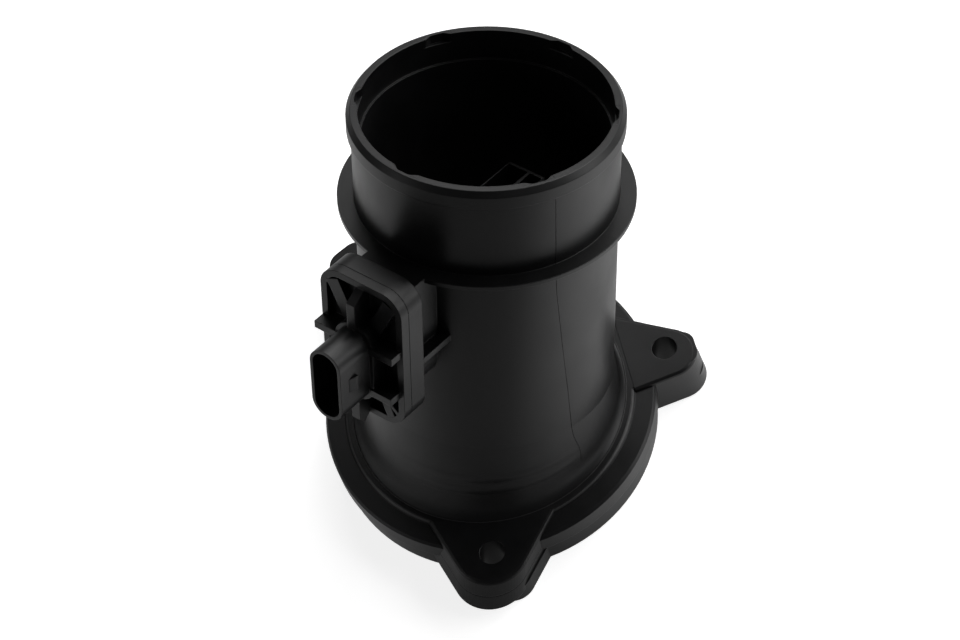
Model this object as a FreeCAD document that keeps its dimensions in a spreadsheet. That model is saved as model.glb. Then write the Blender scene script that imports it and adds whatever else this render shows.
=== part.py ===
import FreeCAD, Part
import math
import os
import re
import Sketcher
from FreeCAD import Placement, Rotation, Vector

# A plug-in mass airflow sensor in its moulded tube. Millimetres throughout.
#
# The part stands on its bolting flange: the origin is the centre of the
# flange's flat underside and +Z points out of the flange. The tube leans from
# there towards +X.
#
# Three frames are used. The flange frame is the part's own. The tube frame has
# its Z along the leaning tube, with Z = 0 at the top of the collar. The sensor
# frame is the tube frame turned about the tube, so that its X points out
# through the middle of the sensor, Y runs across it and Z is along the tube.

SIZES = [
    ("tilt", 19.4, "lean of the tube from the flange's normal, degrees"),
    ("sensor_azimuth", 170.9, "direction of the sensor about the tube, degrees"),
    ("collar_rise", 86.2, "flange's top face to the collar's top, along the tube"),
    ("fit_gap", 0.1, "gap round a piece that drops into its seat"),
    ("overlap", 3.0, "how far one part of a moulding runs into the next"),
    ("overrun", 5.0, "how far a cutting body runs past the material"),

    ("tube_radius", 39.8, "outside of the lower tube"),
    ("tube_bore", 37.0, "inside radius of the lower tube"),
    ("flare_drop", 70.0, "collar's top to the start of the flare, along the tube"),
    ("flare_radius", 43.0, "outside of the flare where it meets the flange"),
    ("collar_radius", 45.0, "stop collar for the hose"),
    ("collar_height", 1.5, "stop collar, along the tube"),
    ("spigot_radius", 40.0, "hose spigot above the collar"),
    ("spigot_bore", 37.7, "inside radius at the open end"),
    ("bore_step_height", 21.0, "collar's top to the step in the bore"),
    ("bead_radius", 41.2, "hose bead"),
    ("bead_foot", 25.4, "collar's top to the underside of the bead"),
    ("bead_land", 4.1, "straight part of the bead, along the tube"),
    ("rim_radius", 39.9, "outside of the flat rim"),
    ("rim_height", 31.2, "collar's top to the rim"),
    ("notch_count", 6, "clip notches in the rim"),
    ("notch_width", 9.0, "clip notch in the rim, across"),
    ("notch_depth", 1.2, "clip notch, into the wall"),
    ("notch_height", 3.0, "clip notch, below the rim"),

    ("flange_height", 16.5, "whole flange"),
    ("foot_height", 8.5, "lower layer of the flange"),
    ("foot_radius", 53.0, "lower layer"),
    ("flange_radius", 54.0, "upper layer"),
    ("flange_edge", 0.8, "bevel of the upper layer's top edge"),
    ("plateau_radius", 47.4, "raised middle of the flange"),
    ("ledge_drop", 1.1, "plateau to the ledge round it"),
    ("plateau_edge", 1.0, "bevel of the plateau's edge"),
    ("flange_bore", 40.0, "bore through the flange"),
    ("grid_seat_radius", 41.2, "wider mouth of the flange bore, for the grid"),
    ("grid_seat_depth", 9.0, "depth of that mouth"),
    ("collar_mouth_radius", 42.0, "mouth for the air box's collar, below the grid"),
    ("collar_mouth_depth", 4.0, "depth of the collar's mouth"),
    ("seal_groove_radius", 46.8, "middle of the face seal's groove"),
    ("seal_groove_width", 3.4, "face seal's groove"),
    ("seal_groove_depth", 3.2, "face seal's groove"),
    ("ear_hole_radius", 4.0, "bolt hole in each ear"),
    ("ear_foot_growth", 1.0, "lower layer of an ear beyond its upper layer"),
    ("ear_foot_height", 7.2, "lower layer of an ear"),
    ("ear_root", 20.0, "from an ear's hole back into the flange"),

    ("front_ear_x", -48.9, "hole of the front ear"),
    ("front_ear_y", -25.7, "hole of the front ear"),
    ("front_ear_reach", 8.5, "hole to the tip"),
    ("front_ear_left", 7.7, "tip corner to the left of the hole"),
    ("front_ear_right", 7.9, "tip corner to the right of the hole"),
    ("front_ear_left_splay", 29.0, "side's slope, degrees"),
    ("front_ear_right_splay", 26.0, "side's slope, degrees"),
    ("front_ear_corner", 6.5, "rounding of the tip corners"),

    ("side_ear_x", 37.3, "hole of the side ear"),
    ("side_ear_y", -45.4, "hole of the side ear"),
    ("side_ear_reach", 9.9, "hole to the tip"),
    ("side_ear_left", 2.3, "tip corner to the left of the hole"),
    ("side_ear_right", 7.0, "tip corner to the right of the hole"),
    ("side_ear_left_splay", 32.6, "side's slope, degrees"),
    ("side_ear_right_splay", 9.7, "side's slope, degrees"),
    ("side_ear_corner", 4.0, "rounding of the tip corners"),

    ("back_ear_x", 29.2, "hole of the back ear"),
    ("back_ear_y", 64.8, "hole of the back ear"),
    ("back_ear_reach", 8.5, "hole to the tip"),
    ("back_ear_left", 6.4, "tip corner to the left of the hole"),
    ("back_ear_right", 6.4, "tip corner to the right of the hole"),
    ("back_ear_left_splay", 20.0, "side's slope, degrees"),
    ("back_ear_right_splay", 20.0, "side's slope, degrees"),
    ("back_ear_corner", 6.0, "rounding of the tip corners"),

    ("boss_face", 56.7, "tube's axis to the face that the sensor seats on"),
    ("boss_plate", 6.2, "thickness of the boss's plate"),
    ("neck_half_width", 10.5, "neck between tube and plate"),
    ("neck_low", -44.0, "lowest point of the neck"),
    ("neck_end_radius", 10.3, "rounding of the neck's lower end"),
    ("web_height", -25.5, "middle of the web behind the plate"),
    ("web_thickness", 2.2, "web behind the plate"),
    ("web_inset", 0.5, "web's sides, inside the plate's sides"),
    ("plate_half_width", 15.0, "boss plate and sensor flange"),
    ("plate_top", 4.4, "boss plate and sensor flange"),
    ("plate_low", -45.6, "boss plate and sensor flange"),
    ("plate_corner", 7.3, "boss plate and sensor flange"),
    ("slot_clearance", 0.3, "gap between the probe and its slot"),
    ("slot_start", 20.0, "tube's axis to where the slot's cut begins, inside the bore"),
    ("seat_depth", 3.4, "recess in the boss's face for the radial seal"),
    ("seal_cord", 2.2, "thickness of the radial seal"),
    ("seal_float", 0.6, "radial seal to the floor of its recess"),
    ("neck_margin", 1.6, "sensor's neck beyond its probe, inside the seal"),
    ("neck_corner", 3.0, "corner of the sensor's neck"),

    ("module_flange", 3.3, "thickness of the sensor's flange"),
    ("pocket_depth", 2.3, "pockets in the sensor flange's face"),
    ("pocket_rim", 2.3, "rim round those pockets"),
    ("rib_half_width", 1.5, "upright rib on the face"),
    ("rib_reach", 4.6, "upright rib, proud of the face"),
    ("rib_low", -47.5, "lower end of the upright rib"),
    ("rib_slope", 3.0, "sloping top end of the upright rib"),
    ("rib_cut", 2.0, "cut corner at the upright rib's lower end"),
    ("brace_width", 1.6, "slanting ribs in the pockets"),
    ("wing_top", -14.5, "upper wing's top face"),
    ("wing_height", 2.5, "wings, along the tube"),
    ("wing_half_width", 14.4, "upper wing"),
    ("low_wing_top", -30.8, "lower wing's top face"),
    ("low_wing_half_width", 13.5, "lower wing"),
    ("wing_reach", 4.4, "wings, proud of the face"),

    ("socket_mouth", 77.0, "tube's axis to the socket's open end"),
    ("socket_half_width", 5.65, "outside of the socket"),
    ("socket_half_length", 12.9, "outside of the socket"),
    ("socket_middle", -23.0, "socket's centre, along the tube"),
    ("socket_wall", 1.1, "wall of the socket"),
    ("socket_floor", 62.5, "tube's axis to the bottom of the socket"),
    ("root_collar_margin", 1.3, "thicker collar at the socket's root"),
    ("root_collar_height", 4.0, "that collar, proud of the face"),
    ("pin_pitch", 4.6, "contact to contact"),
    ("pin_width", 2.0, "contact blade, along the tube"),
    ("pin_thickness", 0.64, "contact blade, across"),
    ("pin_end", 73.5, "tube's axis to the contacts' tips"),

    ("probe_half_width", 7.2, "probe across the stream"),
    ("probe_top", -5.5, "probe's downstream face"),
    ("probe_low", -35.7, "probe's upstream face"),
    ("probe_end", -20.4, "probe's free end"),
    ("probe_wall", 1.0, "walls of the probe"),
    ("partition_side", 0.9, "near face of the probe's partition"),
    ("bypass_end", 6.0, "inner end of the two chambers"),
    ("inlet_start", -17.5, "bypass inlet's outer edge"),
    ("inlet_length", 8.0, "bypass inlet, along the probe"),
    ("vane_length", 12.0, "guide island in the bypass, along the probe"),
    ("vane_height", 7.0, "guide island in the bypass, along the tube"),
    ("vane_middle", -24.0, "guide island's centre, along the tube"),
    ("vane_end_radius", 3.3, "rounding of the guide island's ends"),
    ("bay_start", 8.0, "electronics bay's outer end"),
    ("bay_length", 25.0, "electronics bay, along the probe"),
    ("bay_low", -28.0, "electronics bay's lower wall"),
    ("bay_depth", 4.4, "electronics bay under its cover"),
    ("lid_rebate", 0.8, "step that a cover rests on"),
    ("base_plate_thickness", 1.0, "metal plate under the circuit board"),
    ("board_thickness", 0.7, "ceramic circuit board"),
    ("board_margin", 1.2, "gap round the board in its bay"),
    ("board_start", 14.0, "board's end beside the carrier, along the probe"),
    ("chip_thickness", 1.2, "evaluation chip"),
    ("chip_side", 5.5, "evaluation chip"),
    ("chip_inset", 3.0, "board's end to the evaluation chip"),
    ("chip_rise", 6.0, "bay's lower wall to the evaluation chip"),
    ("carrier_length", 16.0, "sensor carrier, from the bay into the bypass"),
    ("carrier_width", 4.2, "sensor carrier, along the tube"),
    ("carrier_thickness", 0.9, "sensor carrier"),
    ("carrier_middle", -14.0, "sensor carrier's centre, along the tube"),
    ("carrier_gap", 0.3, "sensor carrier to the board"),
    ("film_chip_length", 4.4, "hot film chip"),
    ("film_chip_thickness", 0.4, "hot film chip"),
    ("film_chip_margin", 0.9, "hot film chip from the carrier's edges"),
    ("window_start", 14.0, "thermistor's window, along the probe"),
    ("window_length", 14.0, "thermistor's window"),
    ("window_depth", 5.2, "thermistor's window, into the probe"),
    ("thermistor_radius", 1.2, "thermistor bead"),
    ("thermistor_end", 0.7, "flat end of the thermistor bead"),
    ("lead_radius", 0.3, "thermistor lead"),

    ("grid_height", 4.8, "flow grid"),
    ("grid_ring", 1.6, "flow grid's outer ring"),
    ("grid_bar", 1.0, "flow grid's bars"),
    ("grid_bar_height", 3.8, "flow grid's bars, along the flow"),
    ("grid_pitch", 8.6, "flow grid's bars, middle to middle"),
]

NAMES = [name for name, _, _ in SIZES]

doc = FreeCAD.newDocument("MassAirflowSensor")
sheet = doc.addObject("Spreadsheet::Sheet", "Sizes")
for row, (name, number, meaning) in enumerate(SIZES, start=1):
    sheet.set("A%d" % row, name)
    sheet.set("B%d" % row, str(number))
    sheet.set("C%d" % row, meaning)
    sheet.setAlias("B%d" % row, name)
doc.recompute()


# Formulas, written with the plain names of the sizes

def formula(text):
    """The expression that reads the sheet for each size named in a formula."""
    return re.sub(r"[a-z_]+", lambda word: "Sizes." + word[0] if word[0] in NAMES else word[0], text)


def value(text):
    """The number that a formula gives."""
    return float(sheet.evalExpression(formula(text)))


def bind(thing, prop, text):
    thing.setExpression(prop, formula(text))


# The three frames

def tube_frame():
    """Z along the leaning tube, zero at the collar's top."""
    rise = value("collar_rise")
    tilt = math.radians(value("tilt"))
    base = Vector(rise * math.sin(tilt), 0, value("flange_height") + rise * math.cos(tilt))
    return Placement(base, Rotation(Vector(0, 1, 0), value("tilt")))


def sensor_frame():
    """The tube frame, turned so that X points out through the sensor."""
    turn = Placement(Vector(0, 0, 0), Rotation(Vector(0, 0, 1), value("sensor_azimuth")))
    return tube_frame().multiply(turn)


# Sketches and features

def new_body(name, placement=None):
    body = doc.addObject("PartDesign::Body", name)
    body.Label = name
    if placement:
        body.Placement = placement
    return body


def sketch_on(body, role, name, offset="0"):
    """A sketch on one of the body's own planes, moved along the plane's normal."""
    plane = [feature for feature in body.Origin.OriginFeatures if feature.Role == role][0]
    sketch = body.newObject("Sketcher::SketchObject", name)
    sketch.AttachmentSupport = (plane, [""])
    sketch.MapMode = "FlatFace"
    bind(sketch, "AttachmentOffset.Base.z", offset)
    return sketch


def constrain(sketch, text, kind, *where):
    """A dimension whose value is a formula."""
    number = sketch.addConstraint(Sketcher.Constraint(kind, *where, value(text)))
    bind(sketch, "Constraints[%d]" % number, text)


def hold(sketch, index, vertex, x, y):
    """Keep a point of the sketch at a place given by two formulas."""
    constrain(sketch, x, "DistanceX", -1, 1, index, vertex)
    constrain(sketch, y, "DistanceY", -1, 1, index, vertex)


def outline(sketch, corners):
    """A closed outline of straight sides, with a pair of formulas for each corner."""
    points = [Vector(value(x), value(y), 0) for x, y in corners]
    first = sketch.GeometryCount
    count = len(points)
    ends = points[1:] + points[:1]
    sketch.addGeometry([Part.LineSegment(start, end) for start, end in zip(points, ends)])
    for step, (x, y) in enumerate(corners):
        previous = first + (step - 1) % count
        sketch.addConstraint(Sketcher.Constraint("Coincident", previous, 2, first + step, 1))
        hold(sketch, first + step, 1, x, y)


def rectangle(sketch, left, right, low, high):
    outline(sketch, [(left, low), (right, low), (right, high), (left, high)])


def circle(sketch, x, y, radius):
    index = sketch.addGeometry(Part.Circle(Vector(value(x), value(y), 0), Vector(0, 0, 1), value(radius)))
    constrain(sketch, radius, "Radius", index)
    hold(sketch, index, 3, x, y)


def rounded_rectangle(sketch, left, right, low, high, radius):
    """Four sides and four equal corner arcs, tangent all the way round."""
    x0 = value(left)
    x1 = value(right)
    y0 = value(low)
    y1 = value(high)
    r = value(radius)
    quarter = math.pi / 2
    spots = [(x1 - r, y0 + r, -1), (x1 - r, y1 - r, 0), (x0 + r, y1 - r, 1), (x0 + r, y0 + r, 2)]
    first = sketch.GeometryCount
    for x, y, turns in spots:
        disc = Part.Circle(Vector(x, y, 0), Vector(0, 0, 1), r)
        sketch.addGeometry(Part.ArcOfCircle(disc, turns * quarter, (turns + 1) * quarter))
    sides = [((x0 + r, y0), (x1 - r, y0)), ((x1, y0 + r), (x1, y1 - r)),
             ((x1 - r, y1), (x0 + r, y1)), ((x0, y1 - r), (x0, y0 + r))]
    for start, end in sides:
        sketch.addGeometry(Part.LineSegment(Vector(*start, 0), Vector(*end, 0)))
    for step in range(4):
        side = first + 4 + step
        sketch.addConstraint(Sketcher.Constraint("Tangent", side, 2, first + step, 1))
        sketch.addConstraint(Sketcher.Constraint("Tangent", first + step, 2, first + 4 + (step + 1) % 4, 1))
        if step:
            sketch.addConstraint(Sketcher.Constraint("Equal", first, first + step))
    sketch.addConstraint(Sketcher.Constraint("Horizontal", first + 4))
    sketch.addConstraint(Sketcher.Constraint("Vertical", first + 5))
    sketch.addConstraint(Sketcher.Constraint("Horizontal", first + 6))
    sketch.addConstraint(Sketcher.Constraint("Vertical", first + 7))
    constrain(sketch, radius, "Radius", first)
    constrain(sketch, low, "DistanceY", -1, 1, first + 4, 1)
    constrain(sketch, right, "DistanceX", -1, 1, first + 5, 1)
    constrain(sketch, high, "DistanceY", -1, 1, first + 6, 1)
    constrain(sketch, left, "DistanceX", -1, 1, first + 7, 1)


def stadium(sketch, x, low, high, radius):
    """Two upright sides joined by half circles."""
    x0 = value(x)
    r = value(radius)
    y0 = value(low) + r
    y1 = value(high) - r
    first = sketch.GeometryCount
    for y, start in ((y1, 0), (y0, math.pi)):
        disc = Part.Circle(Vector(x0, y, 0), Vector(0, 0, 1), r)
        sketch.addGeometry(Part.ArcOfCircle(disc, start, start + math.pi))
    sketch.addGeometry(Part.LineSegment(Vector(x0 - r, y1, 0), Vector(x0 - r, y0, 0)))
    sketch.addGeometry(Part.LineSegment(Vector(x0 + r, y0, 0), Vector(x0 + r, y1, 0)))
    sketch.addConstraint(Sketcher.Constraint("Tangent", first, 2, first + 2, 1))
    sketch.addConstraint(Sketcher.Constraint("Tangent", first + 2, 2, first + 1, 1))
    sketch.addConstraint(Sketcher.Constraint("Tangent", first + 1, 2, first + 3, 1))
    sketch.addConstraint(Sketcher.Constraint("Tangent", first + 3, 2, first, 1))
    constrain(sketch, radius, "Radius", first)
    hold(sketch, first, 3, x, "%s - (%s)" % (high, radius))
    constrain(sketch, "%s + (%s)" % (low, radius), "DistanceY", -1, 1, first + 1, 3)


def raise_from(sketch, name, length, backwards=False):
    """Add material over a sketch."""
    pad = sketch.getParentGeoFeatureGroup().newObject("PartDesign::Pad", name)
    pad.Profile = sketch
    bind(pad, "Length", length)
    pad.Reversed = backwards
    sketch.Visibility = False
    return pad


def cut_from(sketch, name, depth, forwards=False):
    """Take material away under a sketch, and make sure that some went."""
    body = sketch.getParentGeoFeatureGroup()
    doc.recompute()
    before = body.Shape.Volume
    pocket = body.newObject("PartDesign::Pocket", name)
    pocket.Profile = sketch
    bind(pocket, "Length", depth)
    pocket.Reversed = forwards
    doc.recompute()
    if body.Shape.Volume >= before - 1e-6:
        raise RuntimeError("the cut %s takes nothing away" % name)
    return pocket


def revolve(sketch, name):
    turned = sketch.getParentGeoFeatureGroup().newObject("PartDesign::Revolution", name)
    turned.Profile = sketch
    turned.ReferenceAxis = (sketch, ["V_Axis"])
    turned.Angle = 360
    return turned


def nearest_edges(shape, points):
    """The names of the edges that pass nearest to each point."""
    names = []
    for point in points:
        spot = Part.Vertex(point)
        reach = [edge.distToShape(spot)[0] for edge in shape.Edges]
        name = "Edge%d" % (reach.index(min(reach)) + 1)
        if name not in names:
            names.append(name)
    return names


def dress(body, kind, name, size, points):
    """Round or chamfer the edges of a body that pass through the given points."""
    doc.recompute()
    base = body.Tip
    feature = body.newObject(kind, name)
    feature.Base = (base, nearest_edges(base.Shape, points))
    bind(feature, "Radius" if kind.endswith("Fillet") else "Size", size)
    doc.recompute()
    return feature


# Tube housing: one moulding, put together from the tube, the flared foot, the
# flange with its ears, and the boss that the sensor plugs into

def tube_body():
    body = new_body("tube", tube_frame())
    wall = sketch_on(body, "XZ_Plane", "tube_section")
    outline(wall, [
        ("tube_bore", "-flare_drop"),
        ("tube_radius", "-flare_drop"),
        ("tube_radius", "-collar_height"),
        ("collar_radius", "-collar_height"),
        ("collar_radius", "0"),
        ("spigot_radius", "0"),
        ("spigot_radius", "bead_foot"),
        ("bead_radius", "bead_foot"),
        ("bead_radius", "bead_foot + bead_land"),
        ("rim_radius", "rim_height"),
        ("spigot_bore", "rim_height"),
        ("spigot_bore", "bore_step_height"),
        ("tube_bore", "bore_step_height"),
    ])
    revolve(wall, "tube_wall")
    return body


def foot_body(name, upper_radius, lower_radius):
    """The round section of the tube, blended into a round section of the leaning flange."""
    body = new_body(name, tube_frame())
    upper = sketch_on(body, "XY_Plane", name + "_upper", "-flare_drop")
    circle(upper, "0", "0", upper_radius)
    lower = sketch_on(body, "XY_Plane", name + "_lower", "-collar_rise")
    lower.AttachmentOffset = Placement(Vector(0, 0, 0), Rotation(Vector(0, -1, 0), value("tilt")))
    bind(lower, "AttachmentOffset.Rotation.Angle", "tilt")
    circle(lower, "0", "0", lower_radius)
    doc.recompute()
    loft = body.newObject("PartDesign::AdditiveLoft", name + "_blend")
    loft.Profile = upper
    loft.Sections = [lower]
    loft.Ruled = True
    return body


def flange_body():
    body = new_body("flange")
    foot = sketch_on(body, "XY_Plane", "flange_foot_outline")
    circle(foot, "0", "0", "foot_radius")
    raise_from(foot, "flange_foot", "foot_height")
    upper = sketch_on(body, "XY_Plane", "flange_upper_outline", "foot_height")
    circle(upper, "0", "0", "flange_radius")
    raise_from(upper, "flange_upper", "flange_height - ledge_drop - foot_height")
    edge = Vector(0, value("flange_radius"), value("flange_height - ledge_drop"))
    dress(body, "PartDesign::Chamfer", "flange_upper_edge", "flange_edge", [edge])
    plateau = sketch_on(body, "XY_Plane", "plateau_outline", "flange_height - ledge_drop")
    circle(plateau, "0", "0", "plateau_radius")
    raise_from(plateau, "plateau", "ledge_drop")
    edge = Vector(0, value("plateau_radius"), value("flange_height"))
    dress(body, "PartDesign::Chamfer", "plateau_edge", "plateau_edge", [edge])
    return body


def ear_body(name):
    """A bolting ear in two layers, its X pointing out from the flange's centre."""
    body = new_body(name)
    x = value(name + "_x")
    y = value(name + "_y")
    turn = math.degrees(math.atan2(y, x))
    body.Placement = Placement(Vector(x, y, 0), Rotation(Vector(0, 0, 1), turn))

    def corner(side, growth):
        """Where a side meets the tip, and where it meets the root, beyond the hole."""
        splay = "%s_%s_splay" % (name, side)
        tip = "%s_%s + (%s) * (1 / cos(%s) - tan(%s))" % (name, side, growth, splay, splay)
        root = "%s + (%s_reach + %s + ear_root) * tan(%s)" % (tip, name, growth, splay)
        return tip, root

    def layer(label, growth, start, height):
        left_tip, left_root = corner("left", growth)
        right_tip, right_root = corner("right", growth)
        reach = "%s_reach + %s" % (name, growth)
        shape = sketch_on(body, "XY_Plane", label + "_outline", start)
        outline(shape, [
            ("-ear_root", "-(%s)" % right_root),
            (reach, "-(%s)" % right_tip),
            (reach, left_tip),
            ("-ear_root", left_root),
        ])
        raise_from(shape, label, height)

    def round_layer(label, growth, height):
        reach = value("%s_reach + %s" % (name, growth))
        tips = (value(corner("left", growth)[0]), -value(corner("right", growth)[0]))
        spots = [Vector(reach, tip, value(height)) for tip in tips]
        dress(body, "PartDesign::Fillet", label + "_corners", "%s_corner + %s" % (name, growth), spots)

    layer(name + "_foot", "ear_foot_growth", "0", "ear_foot_height")
    layer(name + "_upper", "0", "ear_foot_height", "flange_height - ear_foot_height")
    round_layer(name + "_upper", "0", "(flange_height + ear_foot_height) / 2")
    round_layer(name + "_foot", "ear_foot_growth", "ear_foot_height / 2")
    return body


def neck_ring(sketch, margin, corner):
    """The probe's outline, grown by a margin: the sensor's neck, its seal and the seal's seat."""
    rounded_rectangle(sketch, "-probe_half_width - (%s)" % margin, "probe_half_width + %s" % margin,
                      "probe_low - (%s)" % margin, "probe_top + %s" % margin, corner)


def boss_body():
    body = new_body("sensor_boss", sensor_frame())
    neck = sketch_on(body, "YZ_Plane", "neck_outline", "tube_bore - overlap")
    rectangle(neck, "-neck_half_width", "neck_half_width", "neck_low", "0")
    raise_from(neck, "neck", "boss_face - boss_plate - tube_bore + overlap")
    low = value("neck_low")
    half = value("neck_half_width")
    corners = [Vector(value("(boss_face - boss_plate + tube_radius) / 2"), side * half, low) for side in (1, -1)]
    dress(body, "PartDesign::Fillet", "neck_end", "neck_end_radius", corners)
    web = sketch_on(body, "XY_Plane", "web_outline", "web_height - web_thickness / 2")
    rectangle(web, "tube_bore - overlap", "boss_face - boss_plate", "web_inset - plate_half_width",
              "plate_half_width - web_inset")
    raise_from(web, "web", "web_thickness")
    plate = sketch_on(body, "YZ_Plane", "plate_outline", "boss_face - boss_plate")
    rounded_rectangle(plate, "-plate_half_width", "plate_half_width", "plate_low", "plate_top", "plate_corner")
    raise_from(plate, "plate", "boss_plate")
    return body


def opening_body():
    """What is cut through the boss: the probe's slot and the recess for the radial seal."""
    body = new_body("sensor_opening", sensor_frame())
    slot = sketch_on(body, "YZ_Plane", "slot_outline", "slot_start")
    rounded_rectangle(slot, "-probe_half_width - slot_clearance", "probe_half_width + slot_clearance",
                      "probe_low - slot_clearance", "probe_top + slot_clearance", "probe_wall")
    raise_from(slot, "slot", "boss_face - slot_start")
    seat = sketch_on(body, "YZ_Plane", "seat_outline", "boss_face - seat_depth")
    neck_ring(seat, "neck_margin + seal_cord", "neck_corner + seal_cord")
    raise_from(seat, "seat", "seat_depth + overrun")
    return body


def bore_body():
    """The air path through the flange, up to where the tube's foot begins."""
    body = new_body("flange_air_path")
    bore = sketch_on(body, "XY_Plane", "bore_outline", "-overrun")
    circle(bore, "0", "0", "flange_bore")
    raise_from(bore, "bore", "flange_height + overrun")
    mouth = sketch_on(body, "XY_Plane", "mouth_outline", "-overrun")
    circle(mouth, "0", "0", "grid_seat_radius")
    raise_from(mouth, "mouth", "grid_seat_depth + overrun")
    entry = sketch_on(body, "XY_Plane", "entry_outline", "-overrun")
    circle(entry, "0", "0", "collar_mouth_radius")
    raise_from(entry, "entry", "collar_mouth_depth + overrun")
    return body


def tube_air_path():
    """The round bore of the tube, which clears what the boss and the ears leave in it."""
    body = new_body("tube_air_path", tube_frame())
    path = sketch_on(body, "XY_Plane", "air_outline", "-flare_drop")
    circle(path, "0", "0", "tube_bore")
    raise_from(path, "air", "flare_drop + overrun")
    return body


def groove_body():
    body = new_body("seal_groove")
    ring = sketch_on(body, "XY_Plane", "groove_outline", "-overrun")
    circle(ring, "0", "0", "seal_groove_radius - seal_groove_width / 2")
    circle(ring, "0", "0", "seal_groove_radius + seal_groove_width / 2")
    raise_from(ring, "groove", "seal_groove_depth + overrun")
    return body


def notch_body():
    """Clip notches in the inside of the rim, evenly spaced from the sensor's direction."""
    body = new_body("rim_notches", sensor_frame())
    notch = sketch_on(body, "XY_Plane", "notch_outline", "rim_height - notch_height")
    rectangle(notch, "spigot_bore - overrun", "spigot_bore + notch_depth", "-notch_width / 2", "notch_width / 2")
    cutter = raise_from(notch, "notch", "notch_height + overrun")
    doc.recompute()
    ring = body.newObject("PartDesign::PolarPattern", "notch_ring")
    ring.Originals = [cutter]
    axis = [feature for feature in body.Origin.OriginFeatures if feature.Role == "Z_Axis"][0]
    ring.Axis = (axis, [""])
    ring.Angle = 360
    bind(ring, "Occurrences", "notch_count")
    body.Tip = ring
    return body


def ear_holes():
    holes = []
    for name in ("front_ear", "side_ear", "back_ear"):
        hole = doc.addObject("Part::Cylinder", name + "_hole")
        bind(hole, "Radius", "ear_hole_radius")
        bind(hole, "Height", "flange_height + 2 * overrun")
        bind(hole, "Placement.Base.x", name + "_x")
        bind(hole, "Placement.Base.y", name + "_y")
        bind(hole, "Placement.Base.z", "-overrun")
        holes.append(hole)
    return holes


def tube_housing():
    added = doc.addObject("Part::MultiFuse", "housing_material")
    ears = [ear_body(name) for name in ("front_ear", "side_ear", "back_ear")]
    outside = foot_body("tube_foot", "tube_radius", "flare_radius")
    added.Shapes = [tube_body(), outside, flange_body(), boss_body()] + ears
    added.Refine = True
    inside = foot_body("foot_air_path", "tube_bore", "flange_bore")
    removed = doc.addObject("Part::MultiFuse", "housing_space")
    removed.Shapes = [inside, bore_body(), tube_air_path(), opening_body(), groove_body(), notch_body()] + ear_holes()
    doc.recompute()
    housing = doc.addObject("Part::Cut", "tube_housing")
    housing.Base = added
    housing.Tool = removed
    housing.Label = "tube_housing"
    return housing


# Sensor housing: the ribbed flange, the connector socket and the probe are one
# moulding

def sensor_housing():
    body = new_body("sensor_housing", sensor_frame())
    face = "boss_face + module_flange"

    flange = sketch_on(body, "YZ_Plane", "sensor_flange_outline", "boss_face")
    rounded_rectangle(flange, "-plate_half_width", "plate_half_width", "plate_low", "plate_top", "plate_corner")
    raise_from(flange, "sensor_flange", "module_flange")

    pockets = sketch_on(body, "YZ_Plane", "face_pocket_outline", face)
    rounded_rectangle(pockets, "-plate_half_width + pocket_rim", "plate_half_width - pocket_rim",
                      "plate_low + pocket_rim", "plate_top - pocket_rim", "plate_corner - pocket_rim")
    cut_from(pockets, "face_pockets", "pocket_depth")

    floor = face + " - pocket_depth"
    braces = sketch_on(body, "YZ_Plane", "brace_outlines", floor)
    for low, high, lift in (("wing_top", "plate_top - pocket_rim", "brace_width"),
                            ("low_wing_top", "plate_low + pocket_rim", "-brace_width")):
        for side in ("", "-"):
            outer = "%s(plate_half_width - pocket_rim)" % side
            inner = "%srib_half_width" % side
            outline(braces, [
                (inner, low),
                (outer, high + " - (%s) * 2" % lift),
                (outer, high + " - (%s)" % lift),
                (inner, low + " + %s" % lift),
            ])
    raise_from(braces, "braces", "pocket_depth")

    wings = sketch_on(body, "YZ_Plane", "wing_outlines", floor)
    rectangle(wings, "-wing_half_width", "wing_half_width", "wing_top - wing_height", "wing_top")
    rectangle(wings, "-low_wing_half_width", "low_wing_half_width", "low_wing_top - wing_height",
              "low_wing_top")
    raise_from(wings, "wings", "pocket_depth + wing_reach")

    rib = sketch_on(body, "XZ_Plane", "upright_rib_outline", "-rib_half_width")
    outline(rib, [
        (floor, "plate_top - pocket_rim"),
        (face, "plate_top - pocket_rim"),
        (face + " + rib_reach", "plate_top - pocket_rim - rib_slope"),
        (face + " + rib_reach", "rib_low + rib_cut"),
        (face + " + rib_reach - rib_cut", "rib_low"),
        (floor, "plate_low + pocket_rim"),
    ])
    raise_from(rib, "upright_rib", "2 * rib_half_width")

    root = sketch_on(body, "YZ_Plane", "root_collar_outline", floor)
    stadium(root, "0", "socket_middle - socket_half_length - root_collar_margin",
            "socket_middle + socket_half_length + root_collar_margin",
            "socket_half_width + root_collar_margin")
    raise_from(root, "root_collar", "pocket_depth + root_collar_height")

    socket = sketch_on(body, "YZ_Plane", "socket_outline", floor)
    stadium(socket, "0", "socket_middle - socket_half_length", "socket_middle + socket_half_length",
            "socket_half_width")
    raise_from(socket, "socket", "socket_mouth - (%s)" % floor)

    hollow = sketch_on(body, "YZ_Plane", "socket_hollow_outline", "socket_mouth")
    stadium(hollow, "0", "socket_middle - socket_half_length + socket_wall",
            "socket_middle + socket_half_length - socket_wall", "socket_half_width - socket_wall")
    cut_from(hollow, "socket_hollow", "socket_mouth - socket_floor")

    neck = sketch_on(body, "YZ_Plane", "sensor_neck_outline", "boss_face - seat_depth + slot_clearance")
    neck_ring(neck, "neck_margin", "neck_corner")
    raise_from(neck, "sensor_neck", "seat_depth - slot_clearance")

    probe = sketch_on(body, "YZ_Plane", "probe_outline", "probe_end")
    rounded_rectangle(probe, "-probe_half_width", "probe_half_width", "probe_low", "probe_top", "probe_wall")
    raise_from(probe, "probe", "boss_face - probe_end")

    hollow_probe(body)
    return body


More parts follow.
